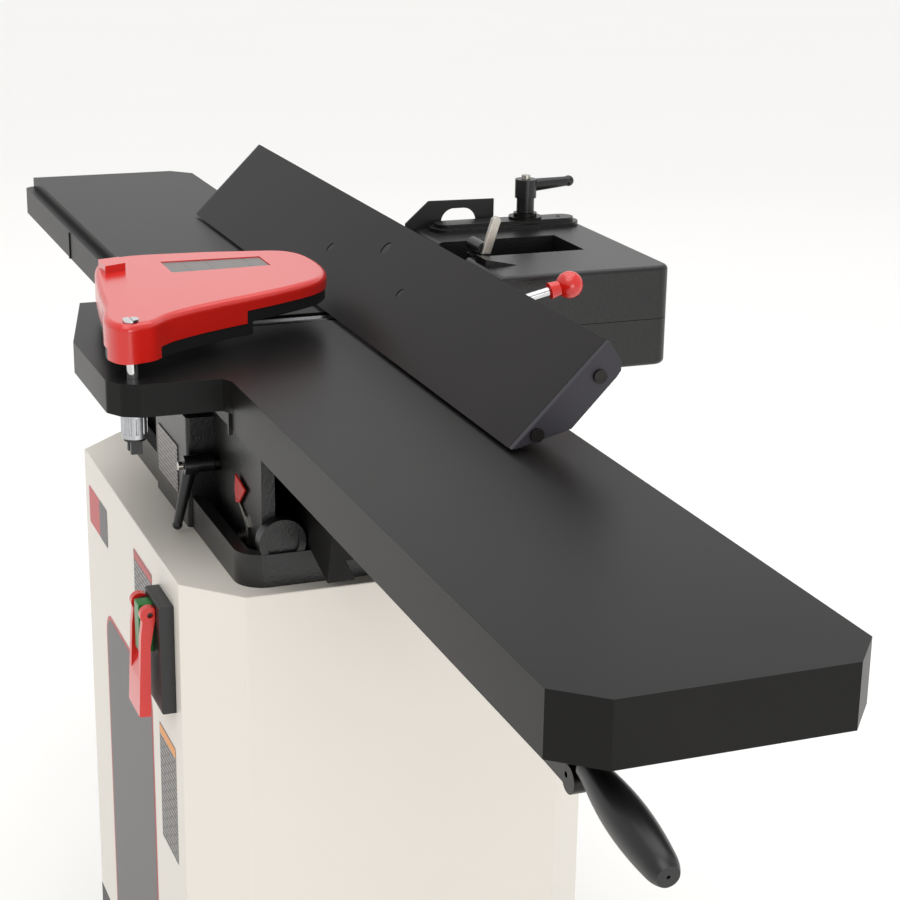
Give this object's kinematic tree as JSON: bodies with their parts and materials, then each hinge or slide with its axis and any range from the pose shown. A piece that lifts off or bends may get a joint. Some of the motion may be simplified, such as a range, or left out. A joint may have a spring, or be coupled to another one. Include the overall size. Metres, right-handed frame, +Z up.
{
  "type": "jointer",
  "caption": "Floor-standing woodworking jointer: long infeed and outfeed tables either side of a knife cutterhead, tilting fence, swinging guard and closed cabinet.",
  "frame": {"origin": "on the floor, at the centre of the cabinet's four floor bolts, under the cutterhead", "axes": "+X towards the infeed end, +Y from the operator's side to the fence carriage, +Z up"},
  "size_m": [1.7692, 0.55, 0.9367],
  "materials": {
    "cabinet_paint": "satin powder coat",
    "dark_paint": "satin powder coat",
    "table_coating": "satin black coating on ground iron",
    "cast_black": "textured black paint",
    "bright_steel": "ground",
    "dark_steel": "blackened",
    "chrome": "polished",
    "zinc": "zinc plated",
    "alloy": "turned",
    "red_plastic": "gloss",
    "black_plastic": "fine grain",
    "end_cap_plastic": "fine grain",
    "green_plastic": "gloss",
    "label_foil": "printed foil",
    "belt_rubber": "matt",
    "motor_paint": "satin"
  },
  "bodies": {
    "stand": {"cabinet_shell": "cabinet_paint", "cabinet_plinth": "dark_paint", "access_panel": "cabinet_paint", "panel_screws": "zinc", "dust_port": "dark_paint", "chip_chute": "zinc", "base_casting": "cast_black", "base_bolts": "dark_steel", "label_plate": "label_foil", "motor_shelf": "dark_paint", "motor_body": "motor_paint", "drive_belt": "belt_rubber", "front_bearing_housing": "cast_black", "rear_bearing_housing": "cast_black", "bearings": "bright_steel", "depth_pointer": "zinc", "pointer_tip": "red_plastic", "link_pin": "bright_steel", "infeed_lock_stud": "dark_steel", "fence_slide_base": "cast_black", "fence_support": "cast_black", "switch_box": "black_plastic"},
    "cutterhead": {"cutterhead_body": "dark_steel", "knives": "bright_steel", "knife_gibs": "bright_steel", "gib_screws": "dark_steel", "cutterhead_pulley": "alloy"},
    "motor_rotor": {"motor_shaft": "bright_steel", "motor_pulley": "alloy"},
    "infeed": {"infeed_table": "table_coating", "infeed_gib": "bright_steel", "guard_spring_sleeve": "alloy", "guard_spring_clip": "black_plastic"},
    "outfeed": {"outfeed_table": "table_coating", "outfeed_gib": "bright_steel", "outfeed_lock_bolts": "dark_steel"},
    "guard": {"guard_cover": "red_plastic", "guard_skirt": "black_plastic", "guard_post": "chrome"},
    "lever": {"raising_lever": "dark_steel"},
    "grip": {"raising_grip": "black_plastic"},
    "link": {"raising_link": "dark_steel"},
    "lock_handle": {"infeed_lock_handle": "black_plastic", "lock_handle_screw": "zinc"},
    "carriage": {"fence_carriage": "cast_black", "tilt_pins": "dark_steel", "stop_barrel": "black_plastic", "rear_guard_plate": "dark_paint", "carriage_lock_stud": "dark_steel"},
    "fence": {"fence_body": "table_coating", "fence_end_caps": "end_cap_plastic", "fence_screws": "dark_steel", "fence_tilt_brackets": "cast_black"},
    "tilt_lever": {"tilt_lever_rod": "chrome", "tilt_lever_knob": "red_plastic"},
    "stop_arm": {"stop_lever": "zinc"},
    "carriage_lever": {"carriage_lock_lever": "black_plastic", "carriage_lever_screw": "zinc"},
    "start": {"start_button": "green_plastic"},
    "stop": {"stop_paddle": "red_plastic"}
  },
  "joints": [
    {"name": "cutter_spin", "type": "hinge", "parent": "stand", "child": "cutterhead", "pos_m": [0, -0.026, 0.7875], "axis": [0, 1, 0], "continuous": true},
    {"name": "motor_spin", "type": "hinge", "parent": "stand", "child": "motor_rotor", "pos_m": [0.04, 0.08, 0.268], "axis": [0, 1, 0], "continuous": true},
    {"name": "infeed_slide", "type": "slide", "parent": "stand", "child": "infeed", "axis": [0.9659, 0, -0.2588], "range_m": [0, 0.049]},
    {"name": "outfeed_slide", "type": "slide", "parent": "stand", "child": "outfeed", "axis": [-0.9659, 0, -0.2588], "range_m": [0, 0.012]},
    {"name": "guard_swing", "type": "hinge", "parent": "infeed", "child": "guard", "pos_m": [0.158, -0.2175, 0.846], "axis": [0, 0, 1], "range_deg": [0, 80], "stiffness_Nm_per_rad": 0.5, "springref_deg": -22.92},
    {"name": "lever_swing", "type": "hinge", "parent": "infeed", "child": "lever", "pos_m": [0.43, -0.025, 0.76], "axis": [0, 1, 0], "range_deg": [0, 34.5]},
    {"name": "link_swing", "type": "hinge", "parent": "stand", "child": "link", "pos_m": [0.262, 0.04, 0.684], "axis": [0, 1, 0], "range_deg": [0, 3.9]},
    {"name": "grip_spin", "type": "hinge", "parent": "lever", "child": "grip", "pos_m": [0.838, -0.1, 0.761], "axis": [0.9861, 0, -0.1659], "continuous": true},
    {"name": "lock_handle_turn", "type": "hinge", "parent": "stand", "child": "lock_handle", "pos_m": [0.08, -0.14, 0.717], "axis": [0, -1, 0], "range_deg": [0, 80]},
    {"name": "fence_slide", "type": "slide", "parent": "stand", "child": "carriage", "axis": [0, 1, 0], "range_m": [0, 0.065]},
    {"name": "fence_tilt", "type": "hinge", "parent": "carriage", "child": "fence", "pos_m": [0, 0.0079, 0.829], "axis": [1, 0, 0], "range_deg": [0, 45]},
    {"name": "tilt_lever_turn", "type": "hinge", "parent": "carriage", "child": "tilt_lever", "pos_m": [0.1, 0.09529, 0.86081], "axis": [1, 0, 0], "range_deg": [-50, 18]},
    {"name": "stop_lever_turn", "type": "hinge", "parent": "carriage", "child": "stop_arm", "pos_m": [0.052, 0.148, 0.893], "axis": [1, 0, 0], "range_deg": [-45, 40]},
    {"name": "carriage_lever_turn", "type": "hinge", "parent": "carriage", "child": "carriage_lever", "pos_m": [-0.084, 0.247, 0.9], "axis": [0, 0, 1], "range_deg": [-60, 60]},
    {"name": "start_press", "type": "slide", "parent": "stand", "child": "start", "axis": [0, 1, 0], "range_m": [0, 0.003], "stiffness_N_per_m": 600, "springref_m": -0.001},
    {"name": "stop_press", "type": "hinge", "parent": "stand", "child": "stop", "pos_m": [0.15, -0.212, 0.612], "axis": [1, 0, 0], "range_deg": [0, 3.4], "stiffness_Nm_per_rad": 0.8, "springref_deg": -5.73}
  ],
  "couplings": [
    {"joint": "motor_spin", "follows": "cutter_spin", "ratio": 0.72727},
    {"joint": "lever_swing", "follows": "infeed_slide", "rad_per_m": 12.253},
    {"joint": "link_swing", "follows": "infeed_slide", "rad_per_m": 1.3531}
  ]
}
